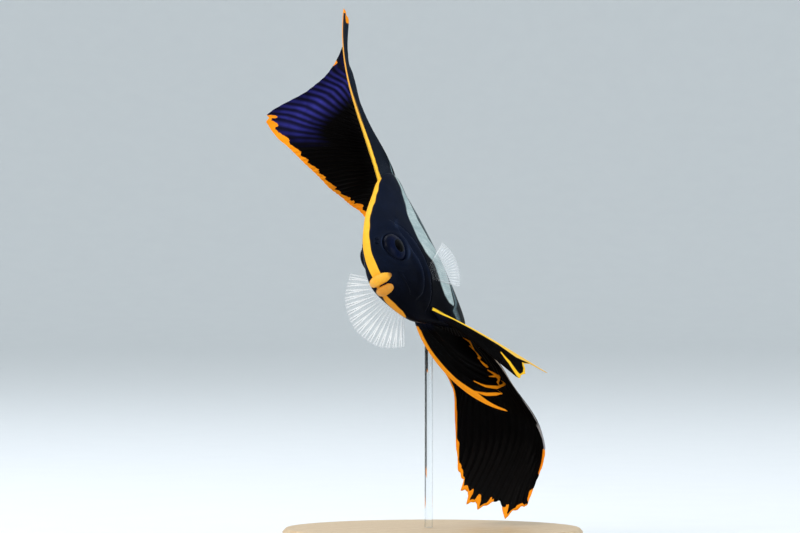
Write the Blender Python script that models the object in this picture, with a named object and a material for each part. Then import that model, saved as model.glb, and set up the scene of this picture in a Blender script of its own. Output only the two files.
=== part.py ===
# Juvenile pinnate batfish, life size, banking and turning on a plain display stand.
#
# Two frames are used. The fish is drawn straight in its own frame, in millimetres:
#   s  length, from the snout (0) towards the tail
#   y  width, positive towards the fish's own left
#   z  height, from the level of the mouth (0) upwards
# pose() then bends it to its own right, rolls it and sets it over the stand, and gives
# world coordinates, also in millimetres. new_mesh() turns those into metres.
import math

import bmesh
import bpy
import numpy as np
from mathutils import Matrix, Vector

# Driving dimensions, in millimetres and degrees
STANDARD_LENGTH = 60.0
GAP = 0.3
ROLL = 28.0
VIEW_AZIMUTH = 32.0
SNOUT_AT = (-0.5, -34.0, 97.0)

# Outline of the body seen from the side: (s, z) of the back, (s, z) of the belly,
# half the width, and how far the ring between them bows towards the tail
RINGS = [
    ((-0.2, 2.6), (-0.2, -2.4), 2.4, 0.0),
    ((-0.1, 7.0), (0.5, -5.2), 4.6, 0.2),
    ((1.1, 12.2), (2.2, -9.4), 6.0, 1.0),
    ((4.1, 16.9), (4.6, -13.4), 7.0, 2.4),
    ((8.4, 20.9), (8.0, -16.6), 7.6, 4.0),
    ((13.4, 24.8), (12.6, -18.8), 7.8, 5.4),
    ((19.4, 28.2), (18.6, -21.0), 7.5, 5.0),
    ((25.0, 31.0), (25.4, -24.2), 6.8, 3.6),
    ((31.0, 34.0), (32.4, -26.9), 5.9, 2.2),
    ((38.0, 35.2), (39.4, -27.4), 5.1, 1.2),
    ((45.0, 31.6), (46.0, -23.6), 4.4, 0.6),
    ((50.4, 24.0), (51.0, -16.0), 3.8, 0.2),
    ((54.0, 15.6), (54.2, -6.8), 3.2, 0.0),
    ((56.6, 10.2), (56.6, -1.0), 2.7, 0.0),
    ((60.0, 9.4), (60.0, -0.6), 2.1, 0.0),
]
CREST_HALF_WIDTH = 0.8
SECTION_POWER = 0.62
GILL_RING = 5.0
PEDUNCLE_RING = 12.0

# Bend to the right: at each height z, the length s where it starts, its radius and its
# whole angle in degrees
BENDS = [
    (-98.0, 34.0, 8.0, 118.0),
    (-74.0, 47.2, 9.0, 117.0),
    (-55.0, 42.6, 14.0, 115.0),
    (-45.0, 40.2, 16.0, 112.0),
    (-27.0, 30.0, 21.0, 106.0),
    (0.0, 27.6, 22.4, 102.0),
    (24.0, 31.0, 22.0, 105.0),
    (33.0, 37.2, 18.0, 108.0),
    (42.0, 40.6, 11.0, 112.0),
    (54.0, 41.6, 7.0, 116.0),
    (63.7, 43.6, 6.0, 119.0),
    (71.6, 47.9, 5.4, 120.0),
    (81.0, 52.3, 5.0, 120.0),
    (98.0, 69.2, 4.0, 120.0),
]

# Middle fins seen from the side. Each named ray is its share of the way from the first
# ray (0) to the last (1), the body ring that it grows from, two guides and its tip (s, z)
DORSAL_RAYS = [
    (0.00, 8.0, (42.9, 58.5), (39.8, 75.1), (67.0, 97.5)),
    (0.10, 8.3, (38.5, 50.0), (46.0, 66.0), (63.2, 81.3)),
    (0.22, 8.8, (42.0, 50.0), (54.0, 64.0), (72.2, 76.7)),
    (0.36, 9.4, (46.0, 46.0), (60.0, 60.0), (91.2, 75.0)),
    (0.44, 9.7, (48.5, 43.0), (62.6, 55.8), (80.5, 61.2)),
    (0.56, 10.2, (52.2, 37.6), (65.6, 48.0), (77.0, 50.9)),
    (0.75, 11.0, (56.0, 29.0), (65.2, 34.6), (77.9, 36.8)),
    (0.83, 11.4, (57.4, 23.4), (65.0, 28.2), (76.7, 31.9)),
    (0.90, 11.8, (58.0, 19.0), (63.2, 22.0), (72.3, 27.6)),
    (1.00, 12.5, (57.6, 13.2), (59.8, 14.2), (65.6, 20.0)),
]
ANAL_RAYS = [
    (0.00, 8.1, (44.9, -36.8), (51.9, -54.8), (49.7, -81.6)),
    (0.10, 8.4, (43.0, -40.0), (49.6, -58.0), (51.3, -90.3)),
    (0.24, 8.9, (46.0, -40.0), (54.0, -58.0), (55.2, -97.1)),
    (0.38, 9.4, (49.0, -38.0), (59.0, -56.0), (69.0, -92.1)),
    (0.52, 10.0, (52.0, -34.0), (64.0, -49.0), (83.4, -86.1)),
    (0.68, 10.7, (55.0, -28.0), (65.6, -39.0), (91.4, -71.6)),
    (0.84, 11.5, (57.0, -19.0), (64.0, -27.6), (80.4, -51.9)),
    (1.00, 12.7, (57.6, -5.6), (60.0, -7.6), (63.0, -13.0)),
]
CAUDAL_RAYS = [
    (0.00, 9.0, (63.4, 11.6), (67.6, 15.2), (71.6, 19.4)),
    (0.50, 4.4, (64.4, 4.4), (68.6, 4.4), (72.8, 4.4)),
    (1.00, -0.2, (63.4, -2.8), (67.6, -6.4), (71.6, -10.6)),
]
DORSAL_COUNT = 24
ANAL_COUNT = 20
CAUDAL_COUNT = 11
ROOT_HALF_THICK = 0.75
EDGE_HALF_THICK = 0.27
RAY_RELIEF = 0.16
SCALLOP = 1.2
SHORTEST_SHARE = 0.04

# Paired fins, which the bend leaves alone: each named ray is its share, its root (s, z) on
# the skin, two guides and its tip (s, y, z), with y outwards from the fish's middle
PELVIC_ROOT = ((15.8, -15.6), (20.6, -20.6))
PELVIC_LEFT_RAYS = [
    (0.0, (24.5, 9.0, -27.1), (35.9, 12.6, -42.4), (54.2, 11.4, -57.3)),
    (0.2, (22.1, 7.9, -27.2), (29.3, 11.0, -40.4), (41.4, 10.6, -53.4)),
    (0.4, (21.7, 7.3, -28.2), (27.3, 10.1, -41.1), (36.8, 10.2, -53.7)),
    (0.6, (22.2, 6.5, -27.7), (26.9, 9.1, -38.4), (34.6, 9.6, -49.0)),
    (0.8, (22.8, 5.7, -27.3), (26.8, 8.0, -36.1), (32.9, 8.8, -44.9)),
    (1.0, (23.1, 4.8, -26.5), (26.0, 6.6, -33.0), (30.3, 7.4, -39.5)),
]
PELVIC_RIGHT_RAYS = [
    (0.0, (16.0, 8.4, -23.4), (25.9, 12.0, -50.1), (45.6, 6.4, -63.0)),
    (0.2, (19.1, 7.4, -23.4), (29.3, 10.3, -45.4), (47.5, 5.8, -56.4)),
    (0.4, (22.1, 6.6, -24.1), (33.4, 9.2, -44.0), (51.7, 5.2, -54.1)),
    (0.6, (23.8, 5.8, -24.7), (34.4, 7.9, -41.4), (50.4, 4.8, -50.4)),
    (0.8, (24.6, 4.9, -24.9), (33.4, 6.6, -37.5), (46.1, 4.6, -44.8)),
    (1.0, (25.8, 4.1, -22.7), (33.1, 5.3, -28.9), (42.5, 4.4, -32.1)),
]
PELVIC_COUNT = 6
PECTORAL_ROOT = ((21.6, -2.4), (21.0, -6.6))
PECTORAL_LENGTHS = {1: 17.0, -1: 21.6}
PECTORAL_COUNT = 13

# Head details
EYE_AT = (10.4, 9.6)
EYE_RADIUS = 5.6
EYE_HALF_DEPTH = 2.6
EYE_SINK = 1.1
LID_RADIUS = 0.55
NOSTRILS = [(4.9, 14.2, 0.5), (6.0, 15.3, 0.6)]
LIP_UPPER = ((3.6, 4.0, 1.5, 1.6), (1.2, 3.1, 1.8, 1.95), (-0.6, 0.0, 1.95, 2.15))
LIP_LOWER = ((2.5, 2.6, -1.5, 1.6), (0.7, 1.9, -1.8, 1.9), (-0.4, 0.0, -1.95, 2.1))
LIP_PRESS = 0.85

# Stand
BASE_RADIUS = 55.0
BASE_HEIGHT = 8.0
BASE_EDGE = 1.2
ROD_RADIUS = 1.5
ROD_TOP = (32.0, -0.6, -6.0)


# Smooth curves and the pose
def catmull(points, t):
    """Point at parameter t of the smooth curve through the points, one unit apart."""
    points = np.asarray(points, float)
    t = np.clip(np.asarray(t, float), 0, len(points) - 1)
    i = np.minimum(t.astype(int), len(points) - 2)
    f = (t - i)[..., None]
    before = points[np.maximum(i - 1, 0)]
    after = points[np.minimum(i + 2, len(points) - 1)]
    a, b = points[i], points[i + 1]
    return 0.5 * (2 * a + (b - before) * f + (2 * before - 5 * a + 4 * b - after) * f ** 2
                  + (3 * a - before - 3 * b + after) * f ** 3)


def at_stations(stations, x):
    """Smooth value at x of rows (x, values...), read through a monotone parameter."""
    rows = np.asarray(stations, float)
    x = np.clip(np.asarray(x, float), rows[0, 0], rows[-1, 0])
    t = np.interp(x, rows[:, 0], np.arange(len(rows)))
    return catmull(rows[:, 1:], t)


def bend(points):
    """Straight fish points (s, y, z), carried round the bend to its right."""
    s, y, z = (points[..., i] for i in range(3))
    row = at_stations(BENDS, z)
    start, radius, limit = row[..., 0], row[..., 1], np.radians(row[..., 2])
    past = np.maximum(s - start, 0)
    angle = np.minimum(past / radius, limit)
    rest = np.maximum(past - radius * limit, 0)
    along = np.minimum(s, start) + radius * np.sin(angle) + rest * np.cos(angle)
    right = radius * (1 - np.cos(angle)) + rest * np.sin(angle)
    return np.stack([along + y * np.sin(angle), y * np.cos(angle) - right, z], -1)


def pose(points, bent=True):
    """Straight fish points (s, y, z) to world points, both in millimetres."""
    points = np.asarray(points, float)
    if bent:
        points = bend(points)
    level = np.stack([points[..., 1], points[..., 0], points[..., 2]], -1)
    azimuth = math.radians(VIEW_AZIMUTH)
    toward_viewer = Vector((math.sin(azimuth), -math.cos(azimuth), 0))
    turn = np.array(Matrix.Rotation(math.radians(ROLL), 3, toward_viewer))
    return level @ turn.T + np.array(SNOUT_AT)


# Meshes
def new_mesh(name, vertices, faces):
    """A mesh object from millimetre points, with its faces turned outwards."""
    mesh = bpy.data.meshes.new(name)
    mesh.from_pydata([tuple(v) for v in np.asarray(vertices, float) * 0.001], [], faces)
    shape = bmesh.new()
    shape.from_mesh(mesh)
    bmesh.ops.recalc_face_normals(shape, faces=shape.faces)
    if shape.calc_volume(signed=True) < 0:
        bmesh.ops.reverse_faces(shape, faces=shape.faces)
    shape.to_mesh(mesh)
    shape.free()
    item = bpy.data.objects.new(name, mesh)
    bpy.context.scene.collection.objects.link(item)
    return item


def closed_rings(rings, ladder=False, loop=False):
    """Vertices and faces of a closed surface through rings of equal length.

    The ends are single faces, or ladders of strips between a ring's two halves where it
    bows, or are joined to each other in a loop."""
    count = len(rings[0])
    vertices = [p for ring in rings for p in ring]
    faces = []
    for i in range(len(rings) if loop else len(rings) - 1):
        start, after = i * count, (i + 1) % len(rings) * count
        for j in range(count):
            k = (j + 1) % count
            faces += [(start + j, start + k, after + k), (start + j, after + k, after + j)]
    if loop:
        return vertices, faces
    last = (len(rings) - 1) * count
    if not ladder:
        faces.append(tuple(range(count)))
        faces.append(tuple(last + j for j in reversed(range(count))))
        return vertices, faces
    for j in range(count // 2 - 1):
        a, b, c, d = j, j + 1, count - 2 - j, count - 1 - j
        faces += [(a, b, c), (a, c, d)]
        faces += [(last + c, last + b, last + a), (last + d, last + c, last + a)]
    return vertices, faces


def drop_object(item):
    """Removes a helper object and its mesh."""
    mesh = item.data
    bpy.data.objects.remove(item)
    bpy.data.meshes.remove(mesh)


def boolean(item, others, operation, solver="MANIFOLD"):
    """Applies one Boolean with a group of closed objects, which are then removed."""
    group = bpy.data.collections.new("operands")
    for other in others:
        group.objects.link(other)
    step = item.modifiers.new("boolean", "BOOLEAN")
    step.operation = operation
    step.solver = solver
    step.operand_type = "COLLECTION"
    step.collection = group
    bpy.context.view_layer.update()
    evaluated = item.evaluated_get(bpy.context.evaluated_depsgraph_get())
    result = bpy.data.meshes.new_from_object(evaluated)
    item.modifiers.remove(step)
    old = item.data
    item.data = result
    bpy.data.meshes.remove(old)
    for other in others:
        drop_object(other)
    bpy.data.collections.remove(group)
    keep_largest(item)


def keep_largest(item):
    """Keeps the largest closed surface of an object and tidies slivers."""
    shape = bmesh.new()
    shape.from_mesh(item.data)
    bmesh.ops.triangulate(shape, faces=shape.faces)
    left = set(shape.faces)
    shells = []
    while left:
        front = [left.pop()]
        shell = list(front)
        while front:
            face = front.pop()
            for edge in face.edges:
                for other in edge.link_faces:
                    if other in left:
                        left.discard(other)
                        front.append(other)
                        shell.append(other)
        shells.append(shell)
    shells.sort(key=lambda group: sum(face.calc_area() for face in group))
    for shell in shells[:-1]:
        bmesh.ops.delete(shape, geom=shell, context="FACES")
    loose = [v for v in shape.verts if not v.link_faces]
    bmesh.ops.delete(shape, geom=loose, context="VERTS")
    shape.to_mesh(item.data)
    shape.free()


def finish(item, colour, roughness, metallic=0.0, alpha=1.0, smooth_angle=40.0):
    """Gives a node its own material and smooth shading."""
    material = bpy.data.materials.new(item.name)
    material.use_nodes = True
    shader = material.node_tree.nodes["Principled BSDF"]
    shader.inputs["Base Color"].default_value = (*colour, 1)
    shader.inputs["Roughness"].default_value = roughness
    shader.inputs["Metallic"].default_value = metallic
    shader.inputs["Alpha"].default_value = alpha
    item.data.materials.clear()
    item.data.materials.append(material)
    item.data.shade_smooth()
    item.data.set_sharp_from_angle(angle=math.radians(smooth_angle))


# Body
RING_VALUES = np.array([(*top, *bottom, wide, bow) for top, bottom, wide, bow in RINGS])


def body_ring(u, v):
    """Side-view place and half width of the body at ring u, v from belly 0 to back 1."""
    row = catmull(RING_VALUES, u)
    top, bottom = row[..., 0:2], row[..., 2:4]
    wide, bow = row[..., 4], row[..., 5]
    v = np.asarray(v, float)
    side = bottom + (top - bottom) * v[..., None]
    s = side[..., 0] + bow * 4 * v * (1 - v)
    half = CREST_HALF_WIDTH + (wide - CREST_HALF_WIDTH) * np.sin(np.pi * v) ** SECTION_POWER
    return s, side[..., 1], half


def crest(u, back, lift):
    """Points on the back's or the belly's midline at ring u, lifted off it by a distance."""
    u = np.asarray(u, float)
    first = 0 if back else 2
    place = catmull(RING_VALUES, u)[..., first:first + 2]
    step = 0.02
    along = catmull(RING_VALUES, u + step)[..., first:first + 2]
    along = along - catmull(RING_VALUES, u - step)[..., first:first + 2]
    along = along / np.linalg.norm(along, axis=-1)[..., None]
    outward = np.stack([-along[..., 1], along[..., 0]], -1) * (1 if back else -1)
    return place + outward * lift


def body_length(name, u_from, u_to, steps, side_steps, swell=0.0):
    """One length of the body as a closed solid between two rings."""
    rings = []
    spread = 0.5 - 0.5 * np.cos(np.pi * np.linspace(0.0, 1.0, side_steps))
    for u in np.linspace(u_from, u_to, steps):
        s, z, half = body_ring(np.full(side_steps, u), spread)
        share = (u - u_from) / (u_to - u_from)
        half = half + swell * np.sin(np.pi * spread) * share ** 3
        left = np.stack([s, half, z], -1)
        right = np.stack([s, -half, z], -1)[::-1]
        rings.append(pose(np.concatenate([left, right])))
    vertices, faces = closed_rings(rings, ladder=True)
    return new_mesh(name, vertices, faces)


SKIN_U, SKIN_V = np.meshgrid(np.linspace(0, len(RINGS) - 1, 211), np.linspace(0, 1, 101))
SKIN_S, SKIN_Z, SKIN_HALF = body_ring(SKIN_U, SKIN_V)


def skin_half_width(s, z):
    """Half width of the body where its side view has (s, z)."""
    distance = (SKIN_S - s) ** 2 + (SKIN_Z - z) ** 2
    near = np.argsort(distance, axis=None)[:4]
    weight = 1 / (distance.ravel()[near] + 1e-6)
    return float((SKIN_HALF.ravel()[near] * weight).sum() / weight.sum())


def ball(name, centre, size, rows=10, columns=18):
    """Closed ellipsoid with its poles across the fish, posed with it."""
    rings = []
    for latitude in np.linspace(-math.pi / 2, math.pi / 2, rows + 1)[1:-1]:
        around = np.linspace(0, 2 * math.pi, columns, endpoint=False)
        rings.append(pose(np.stack([
            centre[0] + size[0] * math.cos(latitude) * np.cos(around),
            np.full(columns, centre[1] + size[1] * math.sin(latitude)),
            centre[2] + size[2] * math.cos(latitude) * np.sin(around)], -1)))
    vertices, faces = closed_rings(rings)
    return new_mesh(name, vertices, faces)


def tube(name, path, radii, sides=8, loop=False, pressed=0):
    """Closed tube along a path in the straight fish frame, pressed from below (1) or above (-1)."""
    path = np.asarray(path, float)
    along = np.roll(path, -1, 0) - np.roll(path, 1, 0) if loop else np.gradient(path, axis=0)
    along /= np.linalg.norm(along, axis=1)[:, None]
    rings = []
    side = np.cross(along[0], (0.0, 0.0, 1.0))
    for point, direction, radius in zip(path, along, radii):
        side = side - direction * side.dot(direction)
        side /= np.linalg.norm(side)
        up = np.cross(direction, side)
        around = np.linspace(0, 2 * math.pi, sides, endpoint=False)
        ring = radius * np.cos(around)[:, None] * side + radius * np.sin(around)[:, None] * up
        ring[:, 2] *= np.where(ring[:, 2] * pressed < 0, LIP_PRESS, 1)
        rings.append(pose(point + ring))
    vertices, faces = closed_rings(rings, loop=loop)
    return new_mesh(name, vertices, faces)


# Head details
def lip(name, knots, extra=0.0, steps=15):
    """A lip as a bar across the snout, pressed towards the other, blunt at its two corners."""
    left = np.array(knots)
    right = left[::-1][1:] * (1, -1, 1, 1)
    points = catmull(np.concatenate([left, right]), np.linspace(0, 2 * len(knots) - 2, steps))
    path, radii = points[:, :3], points[:, 3]
    ends = [(0.35, 0.5), (0.7, 0.86)]
    out, back = path[0] - path[1], path[-1] - path[-2]
    longer = extra / np.linalg.norm(out)
    first = [path[0] + out * (1 - share + longer) for share, _ in ends]
    last = [path[-1] + back * (1 - share + longer) for share, _ in ends[::-1]]
    path = np.concatenate([first, path, last])
    radii = np.concatenate([[radii[0] * r for _, r in ends], radii,
                            [radii[-1] * r for _, r in ends[::-1]]])
    return tube(name, path, radii + extra, sides=12, pressed=1 if knots[0][2] > 0 else -1)


def eye_parts(side):
    """The centre of an eye, and the raised rim of its lids."""
    s, z = EYE_AT
    centre = (s, side * (skin_half_width(s, z) - EYE_SINK), z)
    around = np.linspace(0, 2 * math.pi, 28, endpoint=False)
    reach = EYE_RADIUS + 0.35
    path = []
    for angle in around:
        rim_s, rim_z = s + reach * math.cos(angle), z + reach * math.sin(angle)
        path.append((rim_s, side * (skin_half_width(rim_s, rim_z) + 0.1), rim_z))
    return centre, tube("lids", path, [LID_RADIUS] * len(path), sides=6, loop=True)


def make_head():
    """The head with its lids, eye sockets, nostrils, and room for the lips."""
    head = body_length("head", 0.0, GILL_RING, 18, 24, swell=0.5)
    eyes = []
    rims = []
    cuts = [lip("lip_cut", LIP_UPPER, extra=GAP), lip("lip_cut", LIP_LOWER, extra=GAP)]
    for side, label in ((1, "eye_left"), (-1, "eye_right")):
        centre, rim = eye_parts(side)
        rims.append(rim)
        size = (EYE_RADIUS, EYE_HALF_DEPTH, EYE_RADIUS)
        eyes.append(ball(label, centre, size))
        cuts.append(ball("socket", centre, [radius + GAP for radius in size]))
        for s, z, radius in NOSTRILS:
            cuts.append(ball("nostril", (s, side * skin_half_width(s, z), z),
                             (radius, 0.7, radius), rows=6, columns=8))
    boolean(head, rims, "UNION")
    boolean(head, cuts, "DIFFERENCE")
    return head, eyes


# Fins
def ray_grid(rays, k, t, root):
    """Points at share t of the rays at share k, each a curve from its root to its tip."""
    rows = np.array([[ray[0], *(value for point in ray[-3:] for value in point)]
                     for ray in rays])
    row = at_stations(rows, k)
    width = row.shape[-1] // 3
    p = [root(k)] + [row[..., i * width:(i + 1) * width] for i in range(3)]
    if width == 2:
        p = [np.stack([q[..., 0], np.zeros(k.shape), q[..., 1]], -1) for q in p]
    t = t[..., None]
    return ((1 - t) ** 3 * p[0] + 3 * t * (1 - t) ** 2 * p[1]
            + 3 * t * t * (1 - t) * p[2] + t ** 3 * p[3])


def middle_root(rays, back):
    """Root of a fin on the body's midline, just off the crest."""
    rows = np.array([ray[:2] for ray in rays])
    return lambda k: crest(at_stations(rows, k)[..., 0], back, GAP)


def caudal_root(k):
    """Root of the tail fin on the end of the peduncle."""
    rows = np.array([ray[:2] for ray in CAUDAL_RAYS])
    height = at_stations(rows, k)[..., 0]
    return np.stack([np.full(k.shape, STANDARD_LENGTH + GAP), height], -1)


def paired_root(ends, side, lift):
    """Root of a paired fin on the skin between two places (s, z) of the side view."""
    def place(k):
        start, end = np.array(ends)
        flat = start + (end - start) * k[..., None]
        half = [skin_half_width(s, z) + lift for s, z in flat.reshape(-1, 2)]
        return np.stack([flat[..., 0], side * np.array(half).reshape(k.shape),
                         flat[..., 1]], -1)
    return place


def parting(shares, rays, root, beyond):
    """Share of each ray's length that lies before the middle of the bend."""
    k, t = np.meshgrid(shares, np.linspace(0, 1, 1001), indexing="ij")
    points = ray_grid(rays, k, t, root)
    start, radius, limit = np.moveaxis(at_stations(BENDS, points[..., 2])[..., :3], -1, 0)
    middle = start + radius * np.radians(limit) / 2
    return (points[..., 0] < middle + beyond).mean(axis=1)


def membrane(name, rays, count, rows, root, bent=True, thick=ROOT_HALF_THICK,
             edge=EDGE_HALF_THICK, scallop=SCALLOP, lead=0.25, panel=None):
    """Closed fin with raised rays and a scalloped edge, alike on both faces.

    A panel is only the front or the hind part of a fin that bends, up to or from the
    middle of the bend."""
    shares = np.linspace(0, 1, 2 * count - 1)
    first = last = np.zeros(len(shares))
    if panel == "front":
        last = 1 - parting(shares, rays, root, -GAP / 2)
    if panel == "hind":
        first = parting(shares, rays, root, GAP / 2)
    kept = last + first < 1 - SHORTEST_SHARE
    shares, first, last = shares[kept], first[kept], last[kept]
    first = np.where(first < SHORTEST_SHARE, 0, first)
    last = np.where(last < SHORTEST_SHARE / 2, 0, last)
    t = first[:, None] + (1 - last - first)[:, None] * np.linspace(0, 1, rows + 1)
    k = np.tile(shares[:, None], (1, rows + 1))
    off_ray = np.abs(shares * (count - 1) - np.round(shares * (count - 1))) * 2
    whole = ray_grid(rays, k, np.broadcast_to(np.linspace(0, 1, rows + 1), k.shape), root)
    length = np.linalg.norm(np.diff(whole, axis=1), axis=2).sum(1)
    cut = scallop * off_ray / np.maximum(length, 4 * scallop)
    t = t * (1 - cut[:, None] * t ** 4)
    points = ray_grid(rays, k, t, root)
    across = np.cross(np.gradient(points, axis=0), np.gradient(points, axis=1))
    across /= np.linalg.norm(across, axis=2)[..., None]
    half = edge + (thick - edge) * (1 - t) ** 1.6
    half = half + RAY_RELIEF * (1 - off_ray)[:, None] * (1 - 0.6 * t)
    half = half + lead * (k == 0) * (1 - 0.7 * t)
    one = pose(points + across * half[..., None], bent)
    two = pose(points - across * half[..., None], bent)
    return sheet_solid(name, one, two)


def sheet_solid(name, one, two):
    """Closed solid between two grids of points that are split into triangles alike."""
    a, b = one.shape[:2]
    vertices = np.concatenate([one.reshape(-1, 3), two.reshape(-1, 3)])
    back = a * b
    faces = []
    for i in range(a - 1):
        for j in range(b - 1):
            p, q, r, s = i * b + j, (i + 1) * b + j, (i + 1) * b + j + 1, i * b + j + 1
            faces += [(p, q, r), (p, r, s)]
            faces += [(back + r, back + q, back + p), (back + s, back + r, back + p)]
    rim = ([i * b for i in range(a)] + [(a - 1) * b + j for j in range(1, b)]
           + [i * b + b - 1 for i in range(a - 2, -1, -1)] + [j for j in range(b - 2, 0, -1)])
    for p, q in zip(rim, rim[1:] + rim[:1]):
        faces += [(p, back + p, back + q), (p, back + q, q)]
    return new_mesh(name, vertices, faces)


def paired_fin(name, rays, side, ends, count, rows, thick, scallop):
    """A pelvic or pectoral fin on one side."""
    turned = [(ray[0], *((s, side * y, z) for s, y, z in ray[1:])) for ray in rays]
    root = paired_root(ends, side, GAP + thick)
    return membrane(name, turned, count, rows, root, bent=False, thick=thick,
                    scallop=scallop, lead=0.15)


def pectoral_rays(side):
    """Rays of a pectoral fin: laid back along the left flank, held out on the right."""
    rays = []
    top, bottom = (np.array(end) for end in PECTORAL_ROOT)
    for share in np.linspace(0, 1, 5):
        s, z = top + (bottom - top) * share
        if side > 0:
            lift = math.radians(24 - 50 * share)
            out = Vector((0.99, 0.06, 0))
        else:
            lift = math.radians(38 - 104 * share)
            out = Vector((-0.22, 0.97, 0))
        reach = PECTORAL_LENGTHS[side] * (0.9 + 0.16 * math.sin(math.pi * share))
        root = Vector((s, skin_half_width(s, z) + 0.6, z))
        direction = out * math.cos(lift) + Vector((0.25, 0.08, 1)) * math.sin(lift)
        direction.normalize()
        points = [root + direction * reach * part for part in (0.33, 0.66, 1.0)]
        rays.append((share, *(tuple(p) for p in points)))
    return rays


# Stand
def stand_base():
    """A round plate with eased edges."""
    profile = [(BASE_RADIUS - BASE_EDGE / 2, 0.0), (BASE_RADIUS, BASE_EDGE / 2),
               (BASE_RADIUS, BASE_HEIGHT - BASE_EDGE), (BASE_RADIUS - BASE_EDGE, BASE_HEIGHT)]
    around = np.linspace(0, 2 * math.pi, 64, endpoint=False)
    rings = [np.stack([radius * np.cos(around), radius * np.sin(around),
                       np.full(len(around), height)], -1) for radius, height in profile]
    vertices, faces = closed_rings(rings)
    return new_mesh("stand_base", vertices, faces)


def stand_rod(name, extra=0.0):
    """The upright rod, from just above the base to inside the downward flank."""
    top = pose(np.array(ROD_TOP))
    foot = BASE_HEIGHT + GAP - extra
    around = np.linspace(0, 2 * math.pi, 16, endpoint=False)
    radius = ROD_RADIUS + extra
    rings = [np.stack([top[0] + radius * np.cos(around), top[1] + radius * np.sin(around),
                       np.full(len(around), height)], -1)
             for height in np.linspace(foot, top[2] + extra, 4)]
    vertices, faces = closed_rings(rings)
    return new_mesh(name, vertices, faces)


def build():
    """Every node of the fish and of its stand."""
    for item in list(bpy.data.objects):
        bpy.data.objects.remove(item)

    head, eyes = make_head()
    trunk = body_length("trunk", GILL_RING + 0.07, PEDUNCLE_RING, 16, 24)
    boolean(trunk, [stand_rod("rod_cut", GAP)], "DIFFERENCE")
    tail = body_length("tail_peduncle", PEDUNCLE_RING + 0.12, len(RINGS) - 1, 5, 16)
    caudal = membrane("caudal_fin", CAUDAL_RAYS, CAUDAL_COUNT, 5, caudal_root, scallop=0.5)
    dark_parts = [head, trunk, tail]
    for panel, rows in (("front", 8), ("hind", 10)):
        dark_parts.append(membrane(f"dorsal_fin_{panel}", DORSAL_RAYS, DORSAL_COUNT, rows,
                                   middle_root(DORSAL_RAYS, True), panel=panel))
        dark_parts.append(membrane(f"anal_fin_{panel}", ANAL_RAYS, ANAL_COUNT, rows,
                                   middle_root(ANAL_RAYS, False), panel=panel))
    clear_parts = [caudal]
    for side, word, pelvic in ((1, "left", PELVIC_LEFT_RAYS), (-1, "right", PELVIC_RIGHT_RAYS)):
        dark_parts.append(paired_fin(f"pelvic_fin_{word}", pelvic, side, PELVIC_ROOT,
                                     PELVIC_COUNT, 8, 0.55, 2.0))
        clear_parts.append(paired_fin(f"pectoral_fin_{word}", pectoral_rays(side), side,
                                      PECTORAL_ROOT, PECTORAL_COUNT, 4, 0.4, 0.5))
    lips = [lip("lip_upper", LIP_UPPER), lip("lip_lower", LIP_LOWER)]

    for item in dark_parts:
        finish(item, (0.012, 0.014, 0.022), 0.35)
    for item in clear_parts:
        finish(item, (0.75, 0.8, 0.82), 0.3, alpha=0.5)
    for item in lips:
        finish(item, (0.86, 0.42, 0.04), 0.4)
    for item in eyes:
        finish(item, (0.01, 0.012, 0.02), 0.08)
    finish(stand_base(), (0.05, 0.05, 0.055), 0.4)
    finish(stand_rod("stand_rod"), (0.6, 0.6, 0.62), 0.3, metallic=1.0)


build()
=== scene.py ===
import math

import bpy
import numpy as np
from mathutils import Matrix, Vector


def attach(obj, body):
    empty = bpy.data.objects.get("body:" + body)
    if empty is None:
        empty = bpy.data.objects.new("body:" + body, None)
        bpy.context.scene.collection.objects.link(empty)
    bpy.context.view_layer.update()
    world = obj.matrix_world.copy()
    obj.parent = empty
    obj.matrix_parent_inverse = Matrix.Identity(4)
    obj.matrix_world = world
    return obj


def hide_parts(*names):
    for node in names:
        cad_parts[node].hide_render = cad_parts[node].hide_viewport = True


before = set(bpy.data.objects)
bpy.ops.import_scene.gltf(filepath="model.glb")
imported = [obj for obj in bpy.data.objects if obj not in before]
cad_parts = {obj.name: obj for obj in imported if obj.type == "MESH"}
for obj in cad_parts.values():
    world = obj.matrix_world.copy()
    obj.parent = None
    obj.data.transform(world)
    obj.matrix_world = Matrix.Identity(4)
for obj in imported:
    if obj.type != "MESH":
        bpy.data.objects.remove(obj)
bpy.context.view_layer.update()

# Place and pose of the fish
MM = 0.001
ROLL = 28.0
VIEW_AZIMUTH = 32.0
SNOUT_AT = (-0.5, -34.0, 97.0)
STANDARD_LENGTH = 60.0
AZIMUTH = math.radians(VIEW_AZIMUTH)
TOWARD = Vector((math.sin(AZIMUTH), -math.cos(AZIMUTH), 0))
RIGHT = Vector((math.cos(AZIMUTH), math.sin(AZIMUTH), 0))

# Body rings: (s, z) of the back, (s, z) of the belly, half the width, bow to the tail
RINGS = [
    ((-0.2, 2.6), (-0.2, -2.4), 2.4, 0),
    ((-0.1, 7), (0.5, -5.2), 4.6, 0.2),
    ((1.1, 12.2), (2.2, -9.4), 6, 1),
    ((4.1, 16.9), (4.6, -13.4), 7, 2.4),
    ((8.4, 20.9), (8, -16.6), 7.6, 4),
    ((13.4, 24.8), (12.6, -18.8), 7.8, 5.4),
    ((19.4, 28.2), (18.6, -21), 7.5, 5),
    ((25, 31), (25.4, -24.2), 6.8, 3.6),
    ((31, 34), (32.4, -26.9), 5.9, 2.2),
    ((38, 35.2), (39.4, -27.4), 5.1, 1.2),
    ((45, 31.6), (46, -23.6), 4.4, 0.6),
    ((50.4, 24), (51, -16), 3.8, 0.2),
    ((54, 15.6), (54.2, -6.8), 3.2, 0),
    ((56.6, 10.2), (56.6, -1), 2.7, 0),
    ((60, 9.4), (60, -0.6), 2.1, 0),
]
CREST_HALF_WIDTH = 0.8
SECTION_POWER = 0.62

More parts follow.
